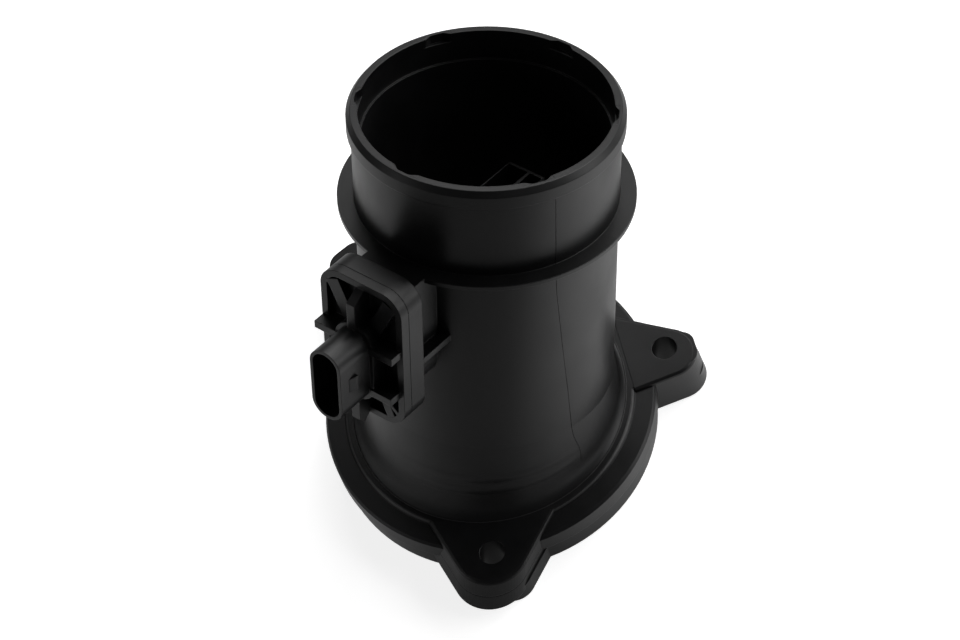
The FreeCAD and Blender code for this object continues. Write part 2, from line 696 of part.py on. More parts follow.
def hollow_probe(body):
    """The bypass channel, the open chamber beside it and the electronics bay."""
    start = "probe_end + probe_wall"
    chamber = sketch_on(body, "XY_Plane", "open_chamber_outline", "probe_top")
    rectangle(chamber, start, "bypass_end", "probe_wall - probe_half_width", "partition_side")
    cut_from(chamber, "open_chamber", "probe_top - probe_low - probe_wall")

    bypass = sketch_on(body, "XZ_Plane", "bypass_outline", "-probe_half_width")
    rectangle(bypass, start, "bypass_end", "probe_low + probe_wall", "probe_top + overrun")
    cut_from(bypass, "bypass", "probe_half_width - partition_side - probe_wall", forwards=True)

    vane = sketch_on(body, "XZ_Plane", "vane_outline", "-partition_side - probe_wall")
    rounded_rectangle(vane, "(%s + bypass_end - vane_length) / 2" % start,
                      "(%s + bypass_end + vane_length) / 2" % start,
                      "vane_middle - vane_height / 2", "vane_middle + vane_height / 2", "vane_end_radius")
    raise_from(vane, "vane", "probe_half_width - partition_side - 2 * probe_wall", backwards=True)

    inlet = sketch_on(body, "XY_Plane", "bypass_inlet_outline", "probe_low")
    rectangle(inlet, "inlet_start", "inlet_start + inlet_length", "partition_side + probe_wall",
              "probe_half_width - probe_wall")
    cut_from(inlet, "bypass_inlet", "probe_wall", forwards=True)

    rebate = sketch_on(body, "XZ_Plane", "bay_rebate_outline", "-probe_half_width")
    rectangle(rebate, "bay_start - lid_rebate", "bay_start + bay_length + lid_rebate",
              "bay_low - lid_rebate", "probe_top - probe_wall")
    cut_from(rebate, "bay_rebate", "probe_wall", forwards=True)

    bay = sketch_on(body, "XZ_Plane", "bay_outline", "-probe_half_width")
    rectangle(bay, "bay_start", "bay_start + bay_length", "bay_low", "probe_top - probe_wall - lid_rebate")
    cut_from(bay, "bay", "probe_wall + bay_depth", forwards=True)

    gate = sketch_on(body, "XZ_Plane", "carrier_gate_outline", "-probe_half_width + probe_wall")
    rectangle(gate, "bypass_end", "bay_start", "carrier_middle - carrier_width / 2",
              "carrier_middle + carrier_width / 2")
    cut_from(gate, "carrier_gate", "bay_depth - base_plate_thickness", forwards=True)

    window = sketch_on(body, "XY_Plane", "thermistor_window_outline", "probe_low")
    rectangle(window, "window_start", "window_start + window_length", "-probe_half_width - overrun",
              "probe_half_width + overrun")
    cut_from(window, "thermistor_window", "window_depth", forwards=True)


# Pieces of the sensor

def slab(name, low, high):
    """A flat piece of the sensor between two corners, each three formulas."""
    piece = doc.addObject("Part::Box", name)
    piece.Label = name
    frame = sensor_frame()
    for prop, start, end in zip(("Length", "Width", "Height"), low, high):
        bind(piece, prop, "(%s) - (%s)" % (end, start))
    piece.Placement = frame.multiply(Placement(Vector(*[value(text) for text in low]), Rotation()))
    return piece


def covers():
    start = "probe_end + probe_wall + fit_gap"
    skin = "probe_half_width - probe_wall"
    slab("bypass_cover", (start, skin, "probe_low + probe_wall + fit_gap"),
         ("bypass_end - fit_gap", "probe_half_width", "probe_top"))
    slab("electronics_cover",
         ("bay_start - lid_rebate + fit_gap", skin, "bay_low - lid_rebate + fit_gap"),
         ("bay_start + bay_length + lid_rebate - fit_gap", "probe_half_width",
          "probe_top - probe_wall - fit_gap"))


def electronics():
    """A metal plate on the bay's floor, the board on it, and the chips on the board."""
    floor = "probe_half_width - probe_wall - bay_depth"
    plate_top = floor + " + base_plate_thickness"
    board_top = plate_top + " + board_thickness"
    start = "bay_start + board_margin"
    end = "bay_start + bay_length - board_margin"
    low = "bay_low + board_margin"
    high = "probe_top - probe_wall - lid_rebate - board_margin"
    slab("base_plate", (start, floor, low), (end, plate_top, high))
    slab("circuit_board", ("board_start", plate_top, low), (end, board_top, high))
    slab("evaluation_chip", ("board_start + chip_inset", board_top, "bay_low + chip_rise"),
         ("board_start + chip_inset + chip_side", board_top + " + chip_thickness",
          "bay_low + chip_rise + chip_side"))
    carrier_end = "board_start - carrier_gap"
    carrier_start = carrier_end + " - carrier_length"
    carrier_low = "carrier_middle - carrier_width / 2 + fit_gap"
    carrier_high = "carrier_middle + carrier_width / 2 - fit_gap"
    carrier_top = plate_top + " + carrier_thickness"
    slab("sensor_carrier", (carrier_start, plate_top, carrier_low), (carrier_end, carrier_top, carrier_high))
    slab("hot_film_chip", (carrier_start + " + film_chip_margin", carrier_top, carrier_low + " + film_chip_margin"),
         (carrier_start + " + film_chip_margin + film_chip_length", carrier_top + " + film_chip_thickness",
          carrier_high + " - film_chip_margin"))


def contacts():
    """Four flat contacts, from inside the flange to near the socket's mouth."""
    for step in range(4):
        middle = "socket_middle + %.1f * pin_pitch" % (step - 1.5)
        slab("contact_%d" % (step + 1),
             ("socket_floor", "-pin_thickness / 2", middle + " - pin_width / 2"),
             ("pin_end", "pin_thickness / 2", middle + " + pin_width / 2"))


def radial_seal():
    """A rubber ring round the sensor's neck, between it and the boss."""
    body = new_body("radial_seal", sensor_frame())
    ring = sketch_on(body, "YZ_Plane", "radial_seal_outline", "boss_face - seat_depth + seal_float")
    neck_ring(ring, "neck_margin", "neck_corner")
    neck_ring(ring, "neck_margin + seal_cord", "neck_corner + seal_cord")
    raise_from(ring, "radial_seal_ring", "seal_cord")
    return body


def thermistor():
    """A bead on two wires across the window in the probe's upstream edge."""
    frame = sensor_frame()
    middle = "window_start + window_length / 2"
    height = "probe_low + window_depth / 2"
    bead = new_body("thermistor_bead", frame.multiply(Placement(Vector(value(middle), 0, value(height)),
                                                                Rotation(Vector(0, 1, 0), 90))))
    half = sketch_on(bead, "XZ_Plane", "bead_section")
    outline(half, [
        ("0", "-thermistor_radius"),
        ("thermistor_end", "-thermistor_radius"),
        ("thermistor_radius", "-thermistor_end"),
        ("thermistor_radius", "thermistor_end"),
        ("thermistor_end", "thermistor_radius"),
        ("0", "thermistor_radius"),
    ])
    revolve(half, "bead_turned")
    runs = (("thermistor_lead_inner", "window_start", middle + " - thermistor_radius"),
            ("thermistor_lead_outer", middle + " + thermistor_radius", "window_start + window_length"))
    for name, start, end in runs:
        lead = doc.addObject("Part::Cylinder", name)
        lead.Label = name
        bind(lead, "Radius", "lead_radius")
        bind(lead, "Height", "(%s) - (%s)" % (end, start))
        along = Placement(Vector(value(start), 0, value(height)), Rotation(Vector(0, 1, 0), 90))
        lead.Placement = frame.multiply(along)


def face_seal():
    body = new_body("face_seal")
    ring = sketch_on(body, "XY_Plane", "face_seal_outline", "fit_gap")
    circle(ring, "0", "0", "seal_groove_radius - seal_groove_width / 2 + fit_gap")
    circle(ring, "0", "0", "seal_groove_radius + seal_groove_width / 2 - fit_gap")
    raise_from(ring, "face_seal_ring", "seal_groove_depth - fit_gap")
    return body


def flow_grid():
    """A ring crossed by two sets of thin bars, pressed into the mouth of the flange."""
    body = new_body("flow_grid")
    ring = sketch_on(body, "XY_Plane", "grid_ring_outline", "grid_seat_depth - grid_height")
    circle(ring, "0", "0", "grid_seat_radius - fit_gap")
    circle(ring, "0", "0", "grid_seat_radius - fit_gap - grid_ring")
    raise_from(ring, "grid_ring", "grid_height")
    reach = "grid_seat_radius - fit_gap - grid_ring / 2"
    count = int(value(reach) / value("grid_pitch"))
    for way in ("along", "across"):
        bars = sketch_on(body, "XY_Plane", "bars_" + way, "grid_seat_depth - grid_height")
        for step in range(-count, count + 1):
            place = "%d * grid_pitch" % step
            half = "sqrt((%s)^2 - (%s)^2)" % (reach, place)
            sides = (place + " - grid_bar / 2", place + " + grid_bar / 2")
            if way == "along":
                rectangle(bars, "-" + half, half, *sides)
            else:
                rectangle(bars, *sides, "-" + half, half)
        raise_from(bars, "grid_bars_" + way, "grid_bar_height")
    return body


PIECES = ["tube_housing", "sensor_housing", "radial_seal", "bypass_cover", "electronics_cover",
          "base_plate", "circuit_board", "evaluation_chip", "sensor_carrier", "hot_film_chip",
          "contact_1", "contact_2", "contact_3", "contact_4", "thermistor_bead",
          "thermistor_lead_inner", "thermistor_lead_outer", "face_seal", "flow_grid"]

tube_housing()
sensor_housing()
covers()
electronics()
contacts()
radial_seal()
thermistor()
face_seal()
flow_grid()
doc.recompute()

for thing in doc.Objects:
    if "Invalid" in thing.State or "Error" in thing.State:
        raise RuntimeError("%s failed: %s" % (thing.Name, thing.State))

os.makedirs("parts", exist_ok=True)
for name in PIECES:
    shape = doc.getObjectsByLabel(name)[0].Shape
    if shape.isNull() or not shape.isValid():
        raise RuntimeError("%s has no sound shape" % name)
    shape.exportStep("parts/%s.step" % name)
    print("%s: %d solid, volume %.1f" % (name, len(shape.Solids), shape.Volume))
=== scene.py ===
import bmesh
import bpy
import math
from mathutils import Matrix, Vector


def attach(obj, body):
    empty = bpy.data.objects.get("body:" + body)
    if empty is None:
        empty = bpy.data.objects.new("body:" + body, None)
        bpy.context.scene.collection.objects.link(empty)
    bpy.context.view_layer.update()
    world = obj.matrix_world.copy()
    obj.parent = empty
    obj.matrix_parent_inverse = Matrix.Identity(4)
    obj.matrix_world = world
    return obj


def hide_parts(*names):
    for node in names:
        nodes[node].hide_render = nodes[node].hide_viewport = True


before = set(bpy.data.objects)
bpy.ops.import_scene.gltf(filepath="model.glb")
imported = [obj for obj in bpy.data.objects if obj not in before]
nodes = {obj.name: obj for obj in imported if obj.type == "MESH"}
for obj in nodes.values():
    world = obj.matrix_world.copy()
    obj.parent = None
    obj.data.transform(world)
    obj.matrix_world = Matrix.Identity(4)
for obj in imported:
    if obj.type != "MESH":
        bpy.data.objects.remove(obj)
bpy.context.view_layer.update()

# Sizes of the part that the added pieces are placed by, in millimetres and
# degrees. The rim and the flare's start are measured along the tube from the
# collar's top, and the flange's top from the flange's bottom.

MM = 0.001
TUBE_LEAN = 19.4
SENSOR_AZIMUTH = 170.9
SPIGOT_RADIUS = 40.0
TUBE_RADIUS = 39.8
RIM_HEIGHT = 31.2
RIM_BORE = 37.7
FLARE_START = -70.0
FLARE_FOOT_RADIUS = 43.0
FLANGE_TOP = 16.5

# Frames of the part, in metres. The tube frame has its Z along the leaning
# tube and its zero at the collar's top. The sensor frame is the same, turned
# about the tube so that its X points out through the sensor.

COLLAR_TOP = (0.02863, 0, 0.09781)
TILT = math.radians(TUBE_LEAN)
TUBE = Matrix.Translation(COLLAR_TOP) @ Matrix.Rotation(TILT, 4, "Y")
SENSOR = TUBE @ Matrix.Rotation(math.radians(SENSOR_AZIMUTH), 4, "Z")


# Materials

def shader(name):
    """A new node material with its Principled shader."""
    material = bpy.data.materials.new(name)
    material.use_nodes = True
    tree = material.node_tree
    tree.nodes.clear()
    principled = tree.nodes.new("ShaderNodeBsdfPrincipled")
    output = tree.nodes.new("ShaderNodeOutputMaterial")
    tree.links.new(principled.outputs["BSDF"], output.inputs["Surface"])
    return material, tree, principled


def noise(tree, scale, detail, rough, stretch=None):
    """Noise in the object's own space, in which one unit is a metre."""
    place = tree.nodes.new("ShaderNodeTexCoord")
    texture = tree.nodes.new("ShaderNodeTexNoise")
    texture.inputs["Scale"].default_value = scale
    texture.inputs["Detail"].default_value = detail
    texture.inputs["Roughness"].default_value = rough
    if stretch:
        mapping = tree.nodes.new("ShaderNodeMapping")
        mapping.inputs["Scale"].default_value = stretch
        tree.links.new(place.outputs["Object"], mapping.inputs["Vector"])
        tree.links.new(mapping.outputs["Vector"], texture.inputs["Vector"])
    else:
        tree.links.new(place.outputs["Object"], texture.inputs["Vector"])
    return texture.outputs["Fac"]


def spread(tree, value, low, high, start=0.3, end=0.7):
    """A value between start and end turned into a range of numbers."""
    ranged = tree.nodes.new("ShaderNodeMapRange")
    ranged.inputs["From Min"].default_value = start
    ranged.inputs["From Max"].default_value = end
    ranged.inputs["To Min"].default_value = low
    ranged.inputs["To Max"].default_value = high
    tree.links.new(value, ranged.inputs["Value"])
    return ranged.outputs["Result"]


def blend(tree, fac, first, second):
    """Two colours, mixed."""
    mix = tree.nodes.new("ShaderNodeMix")
    mix.data_type = "RGBA"
    mix.inputs["A"].default_value = (*first, 1)
    mix.inputs["B"].default_value = (*second, 1)
    tree.links.new(fac, mix.inputs["Factor"])
    return mix.outputs["Result"]


def shaded(colour, factor):
    """A colour made darker or lighter."""
    return tuple(part * factor for part in colour)


def edges(tree, radius):
    """Normals that round every edge over."""
    bevel = tree.nodes.new("ShaderNodeBevel")
    bevel.samples = 6
    bevel.inputs["Radius"].default_value = radius
    return bevel.outputs["Normal"]


def bump(tree, height, distance, strength, normal=None):
    """Normals of a fine relief, on top of other normals where some are given."""
    node = tree.nodes.new("ShaderNodeBump")
    node.inputs["Distance"].default_value = distance
    node.inputs["Strength"].default_value = strength
    tree.links.new(height, node.inputs["Height"])
    if normal:
        tree.links.new(normal, node.inputs["Normal"])
    return node.outputs["Normal"]


def moulded(name, colour, gloss, rough, grain, edge):
    """Satin moulded plastic or rubber: fine grain, a cloudy sheen and rounded edges."""
    material, tree, principled = shader(name)
    cloud = noise(tree, scale=55, detail=4, rough=0.6)
    fine = noise(tree, scale=1900, detail=2, rough=0.6)
    tint = blend(tree, spread(tree, cloud, 0, 1), shaded(colour, 0.72), shaded(colour, 1.35))
    tree.links.new(tint, principled.inputs["Base Color"])
    tree.links.new(spread(tree, cloud, rough - 0.04, rough + 0.05), principled.inputs["Roughness"])
    principled.inputs["Specular IOR Level"].default_value = gloss
    relief = bump(tree, fine, distance=0.00004, strength=grain, normal=edges(tree, edge))
    tree.links.new(relief, principled.inputs["Normal"])
    return material


def metal(name, colour, rough, scale, stretch):
    """Rolled metal, with a grain along one direction."""
    material, tree, principled = shader(name)
    grain = noise(tree, scale, detail=3, rough=0.6, stretch=stretch)
    tint = blend(tree, spread(tree, grain, 0, 1), shaded(colour, 0.85), colour)
    tree.links.new(tint, principled.inputs["Base Color"])
    principled.inputs["Metallic"].default_value = 1
    tree.links.new(spread(tree, grain, rough - 0.07, rough + 0.08), principled.inputs["Roughness"])
    tree.links.new(bump(tree, grain, distance=0.00002, strength=0.2), principled.inputs["Normal"])
    return material


def ceramic(name, colour, rough, gloss):
    """A fired or polished surface with fine specks."""
    material, tree, principled = shader(name)
    speck = noise(tree, scale=1400, detail=3, rough=0.7)
    tint = blend(tree, spread(tree, speck, 0, 1), shaded(colour, 0.9), colour)
    tree.links.new(tint, principled.inputs["Base Color"])
    tree.links.new(spread(tree, speck, rough - 0.05, rough + 0.05), principled.inputs["Roughness"])
    principled.inputs["Specular IOR Level"].default_value = gloss
    return material


# Colour, gloss, roughness, strength of the grain, and radius of the rounded edges in metres

MOULDED = {
    "housing_plastic": ((0.0035, 0.0035, 0.0037), 0.24, 0.37, 0.30, 0.0004),
    "sensor_plastic": ((0.0042, 0.0042, 0.0044), 0.24, 0.38, 0.32, 0.0003),
    "grid_plastic": ((0.006, 0.006, 0.006), 0.3, 0.45, 0.25, 0.0002),
    "carrier_plastic": ((0.012, 0.012, 0.013), 0.4, 0.4, 0.15, 0.0001),
    "seal_rubber": ((0.008, 0.008, 0.008), 0.2, 0.62, 0.2, 0.0002),
    "chip_black": ((0.01, 0.01, 0.01), 0.45, 0.35, 0.2, 0.0001),
    # This edge colour is lighter than the housing's: a painted highlight for the fine lines along the
    # flange's edges.
    "painted_highlight_edge": ((0.016, 0.016, 0.0162), 0.45, 0.45, 0.2, 0.0002),
    "joint_shadow": ((0.0006, 0.0006, 0.0006), 0.02, 0.8, 0.1, 0.0001),
    "bead_resin": ((0.02, 0.02, 0.022), 0.5, 0.2, 0.05, 0.0001),
}
MATERIALS = {name: moulded(name, *look) for name, look in MOULDED.items()}
MATERIALS["plate_metal"] = metal("plate_metal", (0.72, 0.73, 0.74), 0.34, 900, (1, 12, 1))
MATERIALS["contact_metal"] = metal("contact_metal", (0.75, 0.74, 0.7), 0.3, 1400, (10, 1, 1))
MATERIALS["board_ceramic"] = ceramic("board_ceramic", (0.78, 0.78, 0.74), 0.45, 0.4)
MATERIALS["film_silicon"] = ceramic("film_silicon", (0.28, 0.24, 0.30), 0.2, 0.6)

FINISH = {
    "tube_housing": "housing_plastic", "sensor_housing": "sensor_plastic",
    "bypass_cover": "sensor_plastic", "electronics_cover": "sensor_plastic",
    "radial_seal": "seal_rubber", "face_seal": "seal_rubber", "flow_grid": "grid_plastic",
    "base_plate": "plate_metal", "circuit_board": "board_ceramic", "evaluation_chip": "chip_black",
    "sensor_carrier": "carrier_plastic", "hot_film_chip": "film_silicon",
    "contact_1": "contact_metal", "contact_2": "contact_metal",
    "contact_3": "contact_metal", "contact_4": "contact_metal",
    "thermistor_bead": "bead_resin", "thermistor_lead_inner": "contact_metal",
    "thermistor_lead_outer": "contact_metal",
}
for node, slot in FINISH.items():
    mesh = nodes[node].data
    mesh.materials.clear()
    mesh.materials.append(MATERIALS[slot])


# Places and meshes of the added pieces, in millimetres in the frames above

def polar(radius, azimuth, height=0.0):
    """A place or direction given round an upright axis."""
    turn = math.radians(azimuth)
    return Vector((radius * math.cos(turn), radius * math.sin(turn), height))


def in_tube(radius, azimuth, height):
    """A point of the tube frame, given round the tube."""
    return TUBE @ (polar(radius, azimuth, height) * MM)


def in_sensor(out, across, along):
    """A point of the sensor frame."""
    return SENSOR @ (Vector((out, across, along)) * MM)


def on_flare(azimuth, share, push=0.0):
    """A point on the flared foot, from its start to the flange, moved outward by a distance."""
    top = in_tube(TUBE_RADIUS, azimuth, FLARE_START)
    foot = polar(FLARE_FOOT_RADIUS, azimuth, FLANGE_TOP) * MM
    return top.lerp(foot, share) + polar(1, azimuth) * push * MM


def ease(share):
    """A share from 0 to 1, with a soft start and end."""
    share = min(max(share, 0.0), 1.0)
    return share * share * (3 - 2 * share)


def add_piece(name, points, faces, slot, smooth=False, material=None):
    """A mesh piece of the part's only body, in one of its finishes."""
    mesh = bpy.data.meshes.new(name)
    mesh.from_pydata(points, [], faces)
    build = bmesh.new()
    build.from_mesh(mesh)
    bmesh.ops.recalc_face_normals(build, faces=build.faces)
    build.to_mesh(mesh)
    build.free()
    if smooth:
        mesh.shade_smooth()
    mesh.materials.append(MATERIALS[material or slot])
    thing = bpy.data.objects.new(name, mesh)
    bpy.context.collection.objects.link(thing)
    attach(thing, "root")
    return thing


def grid_faces(rows, columns, closed=False):
    """Faces between rows of points, where each row may close to a ring."""
    faces = []
    for row in range(rows - 1):
        here, there = columns * row, columns * (row + 1)
        for k in range(columns if closed else columns - 1):
            after = (k + 1) % columns
            faces.append([here + k, here + after, there + after, there + k])
    return faces


def slab_faces(rows, columns):
    """Faces of a solid between two sheets of points, the second listed after the first."""
    sheet = rows * columns
    faces = []
    for face in grid_faces(rows, columns):
        faces += [face, [sheet + index for index in face]]
    for column in range(columns - 1):
        for first in (column, sheet - columns + column):
            faces.append([first, first + 1, sheet + first + 1, sheet + first])
    for row in range(rows - 1):
        for first in (columns * row, columns * row + columns - 1):
            faces.append([first, first + columns, sheet + first + columns, sheet + first])
    return faces


def prism(corners, low, high, place):
    """Points and faces of an outline raised between two levels."""
    count = len(corners)
    points = [place(level, x, y) for level in (low, high) for x, y in corners]
    faces = [list(range(count)), list(range(count, 2 * count))]
    return points, faces + grid_faces(2, count, closed=True)


def join(parts):
    """Several sets of points and faces as one."""
    points, faces = [], []
    for more_points, more_faces in parts:
        first = len(points)
        points += more_points
        faces += [[first + index for index in face] for face in more_faces]
    return points, faces


def bead(path, width, height, closed=False):
    """A fine raised line along places on a surface, each with the surface's normal."""
    depth, top_share = 0.05, 0.4
    points, count = [], len(path)
    for step, (place, normal) in enumerate(path):
        before = path[step - 1][0] if closed or step else place
        after = path[(step + 1) % count][0] if closed or step + 1 < count else place
        side = normal.cross(after - before).normalized() * width / 2 * MM
        top = place + normal * height * MM
        sunk = place - normal * depth * MM
        points += [sunk - side, top - side * top_share, top + side * top_share, sunk + side]
    faces = []
    for step in range(count if closed else count - 1):
        here, there = 4 * step, 4 * ((step + 1) % count)
        faces += [[here + k, here + (k + 1) % 4, there + (k + 1) % 4, there + k] for k in range(4)]
    if not closed:
        faces += [[0, 1, 2, 3], [4 * count - 4, 4 * count - 3, 4 * count - 2, 4 * count - 1]]
    return points, faces


# Pieces added to the tube housing

def parting_line():
    """A fine line down the tube where the mould's halves met, with a step in it on the flare."""
    width, height, flare_rise = 0.34, 0.09, 0.15
    spigot = [(-122.3, 25.3), (-122.0, 9.0), (-121.8, 0.05)]
    tube = [(-121.6, -1.55), (-121.0, -11.4), (-118.0, -31.4), (-114.2, -53.3), (-111.6, -69.9)]
    flare = [(-111.6, 0.0), (-111.2, 0.18), (-108.6, 0.5), (-108.7, 0.7)]
    axis = TUBE.to_3x3()
    parts = []
    for radius, places in ((SPIGOT_RADIUS, spigot), (TUBE_RADIUS, tube)):
        path = [(in_tube(radius, azimuth, level), axis @ polar(1, azimuth)) for azimuth, level in places]
        parts.append(bead(path, width, height))
    path = [(on_flare(azimuth, share), axis @ polar(1, azimuth, flare_rise).normalized())
            for azimuth, share in flare]
    parts.append(bead(path, width, height))
    add_piece("parting_line", *join(parts), "housing_plastic")


def foot_curve():
    """The flare's lowest part, which curves out to a sharp edge on the flange."""
    rows, columns = 9, 160
    start, lift, reach = 0.7, 0.02, 1.5
    points = []
    for row in range(rows):
        share = start + (1 - start) * row / (rows - 1)
        push = lift + reach * (row / (rows - 1)) ** 3
        points += [on_flare(360 * k / columns, share, push) for k in range(columns)]
    faces = grid_faces(rows, columns, closed=True)
    add_piece("foot_curve", points, faces, "housing_plastic", smooth=True)


def foot_flash_highlight():
    """A fine pale line on the flange, round the sharp edge of the flare's foot: a raised bead whose paler
    colour is a painted highlight.
    """
    radius, width, height = 44.66, 0.36, 0.2
    path = [(polar(radius, azimuth, FLANGE_TOP) * MM, Vector((0, 0, 1))) for azimuth in range(0, 360, 2)]
    line = bead(path, width, height, closed=True)
    add_piece("foot_flash_highlight", *line, "housing_plastic", material="painted_highlight_edge")


def plateau_line():
    """A pale line on the bevelled edge of the flange's plateau: a raised bead whose paler colour is a
    painted highlight.
    """
    radius, level, width, height = 46.9, 16.0, 1.1, 0.05
    path = [(polar(radius, azimuth, level) * MM, polar(1, azimuth, 1).normalized())
            for azimuth in range(0, 360, 2)]
    line = bead(path, width, height, closed=True)
    add_piece("plateau_line", *line, "housing_plastic", material="painted_highlight_edge")


def flare_arcs():
    """Two soft ridges round the front of the flare, which fade out at their ends."""
    rows, columns = 33, 61
    ridges, height, sink = 2, 0.13, 0.012
    first_share, share_span = 0.36, 0.32
    first_azimuth, sweep, fading = 152, 110, 0.35
    points = []
    for row in range(rows):
        share = first_share + share_span * row / (rows - 1)
        swell = 0.5 - 0.5 * math.cos(2 * ridges * math.pi * row / (rows - 1))
        for column in range(columns):
            azimuth = first_azimuth + sweep * column / (columns - 1)
            fade = ease(min(column, columns - 1 - column) / (fading * columns))
            points.append(on_flare(azimuth, share, height * swell * fade - sink))
    add_piece("flare_arcs", points, grid_faces(rows, columns), "housing_plastic", smooth=True)


def notch_scallops():
    """Soft ends in the rim's six clip notches, so that each is a shallow scallop."""
    notches, half, deep, tall, slope, back = 6, 4.5, 1.2, 3.0, 2.9, 0.35
    under_rim, past_end, end_sink = 0.02, 0.06, 0.04
    columns, rows = 27, 3
    parts = []
    for number in range(notches):
        points = []
        for behind in (False, True):
            for row in range(rows):
                drop = under_rim + tall * row / (rows - 1)
                for column in range(columns):
                    along = (half + past_end) * (2 * column / (columns - 1) - 1)
                    depth = deep * ease((half - abs(along)) / slope)
                    sunk = end_sink if abs(along) > half else 0.0
                    radius = RIM_BORE + (deep + back if behind else depth + sunk)
                    azimuth = SENSOR_AZIMUTH + 360 / notches * number + math.degrees(along / RIM_BORE)
                    points.append(in_tube(radius, azimuth, RIM_HEIGHT - drop))
        parts.append((points, slab_faces(rows, columns)))
    add_piece("notch_scallops", *join(parts), "housing_plastic")


def drill_bolt_hole(thing, centre):
    """An upright bolt hole cut through a piece."""
    radius, length, middle = 4.03 * MM, 50 * MM, 8 * MM
    mesh = bpy.data.meshes.new("drill")
    shape = bmesh.new()
    bmesh.ops.create_cone(shape, cap_ends=True, segments=48, radius1=radius, radius2=radius, depth=length)
    bmesh.ops.translate(shape, verts=shape.verts, vec=(centre.x * MM, centre.y * MM, middle))
    shape.to_mesh(mesh)
    shape.free()
    drill = bpy.data.objects.new("drill", mesh)
    bpy.context.collection.objects.link(drill)
    cut = thing.modifiers.new("hole", "BOOLEAN")
    cut.object = drill
    cut.operation = "DIFFERENCE"
    cut.solver = "EXACT"
    graph = bpy.context.evaluated_depsgraph_get()
    drilled = bpy.data.meshes.new_from_object(thing.evaluated_get(graph))
    thing.modifiers.clear()
    thing.data = drilled
    bpy.data.objects.remove(drill)


def ear_cap(name, hole, radius, middle, splay, lean, levels):
    """An ear's true outline: round at the tip, with sides that spread to its root, and its bolt hole.

    The middle of the tip's rounding is given outward and across from the hole.
    Each level is the outline's growth and its drop below the flange's top, and
    the lean is how far the walls move sideways for each millimetre up.
    """
    centre, root, steps = Vector((*hole, FLANGE_TOP)), -13.0, 24
    out, side = middle
    left, right = (math.radians(angle) for angle in splay)
    turn = math.atan2(centre.y, centre.x)
    forward = Vector((math.cos(turn), math.sin(turn), 0))
    across = Vector((-math.sin(turn), math.cos(turn), 0))
    slant = Vector((*lean, 1))

    def ring(grow, drop):
        """The ear's outline at one level."""
        start, end = right - math.pi / 2, math.pi / 2 - left
        size = radius + grow
        spots = []
        for step in range(steps + 1):
            angle = start + (end - start) * step / steps
            spots.append((out + size * math.cos(angle), side + size * math.sin(angle)))
        spots.append((root, side + size / math.cos(left) + (out - root) * math.tan(left)))
        spots.append((root, side - size / math.cos(right) - (out - root) * math.tan(right)))
        return [(centre + forward * x + across * y - slant * drop) * MM for x, y in spots]

    rings = [ring(grow, drop) for grow, drop in levels]
    count = len(rings[0])
    points = [point for level in rings for point in level]
    faces = grid_faces(len(levels), count, closed=True)
    faces += [list(range(count)), list(range(count * (len(levels) - 1), count * len(levels)))]
    cap = add_piece(name, points, faces, "housing_plastic")
    drill_bolt_hole(cap, centre)


TOP_EDGE = [(-1.0, -0.03), (-0.25, 0.35), (0.0, 1.0)]


def front_ear_cap():
    """The front ear's cap, whose walls are parallel to the tube, with a groove round them."""
    groove = [(0.0, 5.85), (-0.12, 6.0), (0.0, 6.15)]
    ear_cap("front_ear_cap", hole=(-48.9, -25.7), radius=12.4, middle=(-1.9, -0.2), splay=(29, 28),
            lean=(math.tan(TILT), 0), levels=TOP_EDGE + groove + [(0.0, 11.5)])


def side_ear_cap():
    """The side ear's cap, with one smooth wall that leans out over the layer below."""
    ear_cap("side_ear_cap", hole=(37.3, -45.4), radius=9.0, middle=(0.8, -1.8), splay=(31.3, 6),
            lean=(-0.083, 0.1), levels=TOP_EDGE + [(0.0, 16.0)])


parting_line()
foot_curve()
foot_flash_highlight()
plateau_line()
flare_arcs()
notch_scallops()
front_ear_cap()
side_ear_cap()


# Pieces added to the sensor housing and its contacts

def face_webs():
    """The slanted webs on the sensor's face, in mirrored pairs."""
    back, face = 57.6, 60.02
    webs = [
        [(8.4, 1.6), (12.9, -0.6), (11.6, -2.4), (5.6, -14.6), (1.4, -14.6), (1.4, -11.4), (5.2, -5.0)],
        [(3.9, -33.2), (7.4, -33.2), (10.9, -42.2), (8.4, -43.6)],
    ]
    parts = []
    for corners in webs:
        for way in (1, -1):
            parts.append(prism([(way * x, y) for x, y in corners], back, face, in_sensor))
    add_piece("face_webs", *join(parts), "sensor_plastic")


def sensor_joint():
    """A thin dark strip round the sensor that paints the shadow in its joint, in a rectangle with round
    corners.
    """
    out, width, height = 56.7, 0.3, 0.03
    half, low, top, corner, steps = 15.0, -45.6, 4.4, 7.3, 8
    middles = [(half - corner, top - corner), (corner - half, top - corner),
               (corner - half, low + corner), (half - corner, low + corner)]
    axes = SENSOR.to_3x3()
    path = []
    for quarter, (x, y) in enumerate(middles):
        for step in range(steps + 1):
            angle = (quarter + step / steps) * math.pi / 2
            place = in_sensor(out, x + corner * math.cos(angle), y + corner * math.sin(angle))
            path.append((place, axes @ Vector((0, math.cos(angle), math.sin(angle)))))
    line = bead(path, width, height, closed=True)
    add_piece("sensor_joint", *line, "sensor_plastic", material="joint_shadow")


def plug_lock():
    """The nose on the socket's side that the plug locks on."""
    low, high = -25.4, -20.4
    nose = [(73.6, 5.6), (70.9, 6.5), (70.1, 6.5), (70.1, 5.6)]
    shape = prism(nose, low, high, lambda along, out, across: in_sensor(out, across, along))
    add_piece("plug_lock", *shape, "sensor_plastic")


